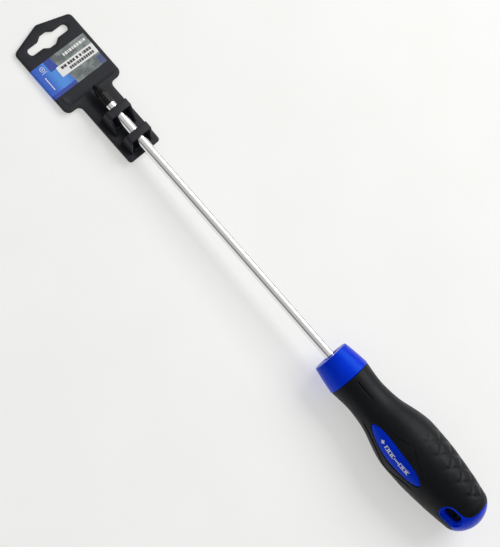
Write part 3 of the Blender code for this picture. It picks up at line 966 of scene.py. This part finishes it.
def make_sticker(white, ink):
    """White paper with two rows of dark strokes in place of text."""
    half_x, half_y = STICKER_SIZE[0] / 2, STICKER_SIZE[1] / 2
    corner = 0.35
    outline = rounded([(x, y, corner) for x, y in bar(-half_x, half_x, -half_y, half_y)], 4)
    turn = Matrix.Rotation(STICKER_TURN, 4, "Z")
    place = TOOL @ Matrix.Translation((STICKER_CENTRE[0] * MM, STICKER_CENTRE[1] * MM, 0)) @ turn
    sticker = make_decal("size_sticker_film", [[outline]], lambda x, y: LABEL_SURFACE, place, white,
                         0.03, 0.1, 1.2)
    belongs(sticker, "hanger", "sticker_paper", "size_sticker")
    rows = []
    far_row = (1.5, 1.5, 1.5, 0.6, None, 1.4, None, 1.4, None, 1.5, 1.5, 1.5, None, 1.7, 1.7)
    near_row = (1.2, 1.2, 1.2, 1.2, 1.2, 1.6, 1.2, 1.2, 0.6, 1.2, 1.2, 1.2)
    half_height, gap, space = 0.85, 0.32, 0.75
    for x, widths in ((-1.35, far_row), (1.35, near_row)):
        y = 11.2
        for width in widths:
            if width is None:
                y -= space
                continue
            rows.append([bar(x - half_height, x + half_height, y - width, y)])
            y -= width + gap
    strokes = make_decal("size_sticker_strokes", rows, lambda x, y: LABEL_SURFACE + 0.13, place, ink, 0.01)
    belongs(strokes, "hanger", "label_film")


# Materials

class Finish:
    """A material whose nodes are added one at a time. Its first values hold where no nodes replace them."""

    def __init__(self, name, colour, roughness, metallic=0.0):
        self.material = bpy.data.materials.new(name)
        self.material.use_nodes = True
        self.tree = self.material.node_tree
        self.surface = self.tree.nodes["Principled BSDF"]
        self.set("Base Color", colour)
        self.set("Roughness", roughness)
        self.set("Metallic", metallic)
        self.place = self.tree.nodes.new("ShaderNodeTexCoord").outputs["Object"]

    def fill(self, socket, value):
        if hasattr(value, "is_output"):
            self.tree.links.new(value, socket)
        else:
            socket.default_value = value

    def math(self, operation, a, b=0.0):
        node = self.tree.nodes.new("ShaderNodeMath")
        node.operation = operation
        self.fill(node.inputs[0], a)
        self.fill(node.inputs[1], b)
        return node.outputs[0]

    def ramp(self, value, low, high, first=0.0, last=1.0):
        """Smooth change from first to last as value goes from low to high."""
        node = self.tree.nodes.new("ShaderNodeMapRange")
        node.interpolation_type = "SMOOTHSTEP"
        for socket, number in zip(node.inputs, (value, low, high, first, last)):
            self.fill(socket, number)
        return node.outputs[0]

    def mix(self, share, one, two):
        node = self.tree.nodes.new("ShaderNodeMix")
        node.data_type = "RGBA"
        self.fill(node.inputs[0], share)
        self.fill(node.inputs[6], one if hasattr(one, "is_output") else (*one, 1))
        self.fill(node.inputs[7], two if hasattr(two, "is_output") else (*two, 1))
        return node.outputs[2]

    def coordinates(self):
        """The piece's own x, y and z in millimetres."""
        parts = self.tree.nodes.new("ShaderNodeSeparateXYZ")
        self.tree.links.new(self.place, parts.inputs[0])
        return [self.math("MULTIPLY", part, 1 / MM) for part in parts.outputs]

    def noise(self, size, detail, stretch=(1, 1, 1)):
        """Noise whose features are about size millimetres across."""
        mapping = self.tree.nodes.new("ShaderNodeMapping")
        mapping.inputs["Scale"].default_value = stretch
        self.tree.links.new(self.place, mapping.inputs["Vector"])
        node = self.tree.nodes.new("ShaderNodeTexNoise")
        node.inputs["Scale"].default_value = 1 / (size * MM)
        node.inputs["Detail"].default_value = detail
        self.tree.links.new(mapping.outputs[0], node.inputs["Vector"])
        return node.outputs[0]

    def bump(self, height, depth):
        """Relief of depth millimetres."""
        node = self.tree.nodes.new("ShaderNodeBump")
        node.inputs["Distance"].default_value = depth * MM
        self.tree.links.new(height, node.inputs["Height"])
        self.tree.links.new(node.outputs[0], self.surface.inputs["Normal"])

    def set(self, name, value):
        if isinstance(value, tuple):
            value = (*value, 1)
        self.fill(self.surface.inputs[name], value)

    def mottle(self, value, low, high, one, two):
        """Base colour that goes from one to two as value goes from low to high."""
        self.set("Base Color", self.mix(self.ramp(value, low, high), one, two))

    def two_roughnesses(self, broad, fine):
        """Roughness as the sum of two ramps."""
        self.set("Roughness", self.math("ADD", self.ramp(*broad), self.ramp(*fine)))


def chrome_finish():
    finish = Finish("chromed_steel", (0.90, 0.90, 0.90), 0.14, 1.0)
    draw_marks = finish.noise(0.35, 3, (0.02, 1, 1))
    smudges = finish.noise(9, 2)
    finish.two_roughnesses((draw_marks, 0.3, 0.7, 0.06, 0.09), (smudges, 0.45, 0.75, 0.0, 0.06))
    return finish.material


def black_steel_finish():
    finish = Finish("blackened_steel", (0.012, 0.012, 0.013), 0.32, 0.6)
    grain = finish.noise(0.12, 3)
    finish.mottle(finish.noise(1.5, 4), 0.4, 0.7, (0.006, 0.006, 0.007), (0.022, 0.021, 0.021))
    finish.set("Roughness", finish.ramp(grain, 0.3, 0.7, 0.24, 0.42))
    finish.bump(grain, 0.008)
    return finish.material


def core_finish():
    finish = Finish("core_plastic", (0.03, 0.03, 0.035), 0.5)
    finish.set("Roughness", finish.ramp(finish.noise(0.8, 2), 0.3, 0.7, 0.42, 0.58))
    finish.bump(finish.noise(0.2, 2), 0.01)
    return finish.material


def blue_finish():
    """Blue plastic, darker inside the slot's throat, where little light reaches."""
    finish = Finish("blue_plastic", (0.001, 0.018, 0.62), 0.33)
    grain = finish.noise(0.16, 3)
    swirls = finish.noise(14, 2, (0.5, 1, 1))
    x, y, z = finish.coordinates()
    along = finish.math("ABSOLUTE", finish.math("SUBTRACT", x, SLOT_CENTRE))
    across = finish.math("ABSOLUTE", y)
    height = finish.math("ABSOLUTE", z)
    in_slot = finish.math("MULTIPLY", finish.ramp(across, SLOT_HALF_WIDTH + 1.2, SLOT_HALF_WIDTH + 0.6),
                          finish.ramp(along, SLOT_HALF_LENGTH + 1.2, SLOT_HALF_LENGTH + 0.6))
    throat = finish.math("MULTIPLY", in_slot, finish.ramp(height, 12.0, 9.6))
    moulded = finish.mix(finish.ramp(swirls, 0.35, 0.7), (0.0006, 0.018, 0.62), (0.001, 0.028, 0.82))
    finish.set("Base Color", finish.mix(throat, moulded, (0.0003, 0.001, 0.03)))
    finish.two_roughnesses((grain, 0.3, 0.7, 0.27, 0.35), (swirls, 0.4, 0.7, 0.0, 0.07))
    finish.set("Specular IOR Level", 0.28)
    finish.set("Specular Tint", (0.10, 0.78, 1.0))
    finish.bump(grain, 0.006)
    return finish.material


def rubber_finish():
    finish = Finish("grip_rubber", (0.014, 0.014, 0.016), 0.6)
    grain = finish.noise(0.18, 2)
    wear = finish.noise(7, 4)
    finish.mottle(wear, 0.35, 0.75, (0.0008, 0.0009, 0.0013), (0.0026, 0.0028, 0.0038))
    finish.two_roughnesses((wear, 0.35, 0.75, 0.44, 0.56), (grain, 0.35, 0.65, -0.04, 0.04))
    finish.set("Specular IOR Level", 0.24)
    finish.set("Specular Tint", (0.88, 0.92, 1.0))
    finish.bump(grain, 0.018)
    return finish.material


def card_finish():
    finish = Finish("card_plastic", (0.020, 0.021, 0.026), 0.42)
    grain = finish.noise(0.22, 2)
    flow = finish.noise(11, 3, (0.4, 1, 1))
    finish.mottle(flow, 0.35, 0.7, (0.019, 0.02, 0.0255), (0.025, 0.026, 0.032))
    finish.two_roughnesses((flow, 0.35, 0.7, 0.36, 0.48), (grain, 0.35, 0.65, -0.03, 0.03))
    finish.set("Specular IOR Level", 0.18)
    finish.bump(grain, 0.012)
    return finish.material


def white_finish(name):
    finish = Finish(name, (0.92, 0.92, 0.92), 0.38)
    fibre = finish.noise(0.4, 3)
    finish.mottle(fibre, 0.35, 0.7, (0.9, 0.9, 0.9), (0.94, 0.94, 0.94))
    finish.bump(fibre, 0.004)
    return finish.material


def ink_finish():
    finish = Finish("black_ink", (0.016, 0.016, 0.018), 0.42)
    patchy = finish.noise(0.5, 3)
    finish.mottle(patchy, 0.35, 0.7, (0.010, 0.010, 0.012), (0.05, 0.05, 0.052))
    return finish.material


def label_finish():
    """Printed film: a blurred grey-green picture, then a blue end with darker bands."""
    finish = Finish("label_print", (0.06, 0.15, 0.5), 0.26)
    x, y, _ = finish.coordinates()
    label_end = LABEL_START + LABEL_WIDTH
    blotches = finish.noise(3.2, 3, (1, 0.6, 1))
    specks = finish.noise(0.9, 3)
    picture = finish.mix(finish.ramp(blotches, 0.35, 0.7), (0.105, 0.132, 0.130), (0.285, 0.325, 0.315))
    picture = finish.mix(finish.ramp(specks, 0.58, 0.75, 0.0, 0.5), picture, (0.028, 0.034, 0.034))
    along = finish.ramp(x, LABEL_START, label_end)
    bright = finish.ramp(finish.math("ABSOLUTE", finish.math("ADD", y, 9.5)), 1.0, 8.0, 1.0, 0.0)
    blue = finish.mix(bright, (0.018, 0.120, 0.64), (0.062, 0.300, 0.86))
    deep = (0.010, 0.048, 0.40)
    near_strip = finish.ramp(x, label_end - 2.6, label_end - 2.1)
    far_block = finish.math("MULTIPLY", finish.ramp(x, LABEL_START + 7.5, LABEL_START + 6.8),
                            finish.ramp(y, -12.2, -11.6))
    blue = finish.mix(finish.math("MAXIMUM", near_strip, far_block), blue, deep)
    corner = finish.math("MULTIPLY", finish.ramp(x, LABEL_START + 14.5, LABEL_START + 15.6),
                         finish.ramp(y, 13.9, 15.9))
    picture = finish.mix(finish.math("MULTIPLY", corner, 0.75), picture, (0.014, 0.045, 0.24))
    slant = finish.math("MULTIPLY", along, -3.5)
    border = finish.math("ADD", y, finish.math("ADD", slant, 6.9))
    in_picture = finish.ramp(border, -0.35, 0.35)
    finish.set("Base Color", finish.mix(in_picture, blue, picture))
    finish.set("Roughness", finish.ramp(finish.noise(1.4, 2), 0.3, 0.7, 0.22, 0.32))
    finish.bump(finish.noise(5, 1), 0.03)
    return finish.material


def floor_finish():
    """Pale board with a glow of its own, which keeps its shadows light."""
    finish = Finish("pale_board", (0.50, 0.50, 0.49), 0.65)
    soft = finish.noise(60, 3)
    finish.mottle(soft, 0.3, 0.7, (0.495, 0.495, 0.485), (0.515, 0.515, 0.51))
    finish.set("Emission Color", (1.0, 1.0, 0.985))
    finish.set("Emission Strength", 0.47)
    finish.bump(finish.noise(1.2, 3), 0.02)
    return finish.material


# Stage, light and camera

CAMERA_PLACE = (-0.0405, -0.3637, 0.8333)
CAMERA_AZIMUTH = radians(-6.0)
CAMERA_ELEVATION = radians(66.17)
CAMERA_ROLL = radians(55.10)
LENS = 105.99

# Area lights that face the origin: name, place and size in metres, watts, colour
LIGHTS = [("window", (0.05, 0.95, 0.95), (1.3, 0.9), 13, (1.0, 0.997, 0.985)),
          ("ceiling", (0.0, 0.3, 1.9), (1.6, 1.6), 4, (1, 1, 1)),
          ("front", (0.0, -0.9, 1.3), (1.6, 0.9), 1.4, (1, 1, 1))]


def add_light(name, place, size, power, colour):
    data = bpy.data.lights.new(name, "AREA")
    data.shape = "RECTANGLE"
    data.size, data.size_y = size
    data.energy = power
    data.color = colour
    light = add_object(name, data)
    light.location = place
    light.rotation_euler = (-Vector(place)).to_track_quat("-Z", "Y").to_euler()


def make_stage():
    mesh = bpy.data.meshes.new("floor")
    reach = 3.0
    mesh.from_pydata([(x, y, 0) for x, y in bar(-reach, reach, -reach, reach)], [], [(0, 1, 2, 3)])
    mesh.materials.append(floor_finish())
    floor = add_object("floor", mesh)


def make_lights():
    world = bpy.data.worlds.new("soft_room")
    world.use_nodes = True
    background = world.node_tree.nodes["Background"]
    background.inputs["Color"].default_value = (1.0, 1.0, 0.995, 1)
    background.inputs["Strength"].default_value = 0.25
    bpy.context.scene.world = world
    for light in LIGHTS:
        add_light(*light)


def make_camera():
    data = bpy.data.cameras.new("camera")
    data.lens = LENS
    data.sensor_width = 36
    data.sensor_fit = "AUTO"
    camera = add_object("camera", data)
    az, el = CAMERA_AZIMUTH, CAMERA_ELEVATION
    back = Vector((sin(az) * cos(el), -cos(az) * cos(el), sin(el)))
    level_right = Vector((cos(az), sin(az), 0))
    level_up = back.cross(level_right)
    right = cos(CAMERA_ROLL) * level_right + sin(CAMERA_ROLL) * level_up
    camera.matrix_world = placement(CAMERA_PLACE, right, back)
    bpy.context.scene.camera = camera


def finish_core():
    """The tang core stays the CAD's own mesh, with a finish of its own."""
    core = frame["nodes"]["tang_core"]
    core.data.materials.clear()
    core.data.materials.append(core_finish())


def main():
    white = white_finish("white_print")
    make_blade(chrome_finish(), black_steel_finish())
    make_shell(blue_finish())
    make_grip(rubber_finish())
    make_badge_marks(white)
    finish_core()
    make_hanger(card_finish())
    make_label(label_finish())
    make_label_marks(white)
    make_sticker(white_finish("white_paper"), ink_finish())
    make_stage()
    make_lights()
    make_camera()
    bpy.context.scene.view_settings.view_transform = "Standard"


main()
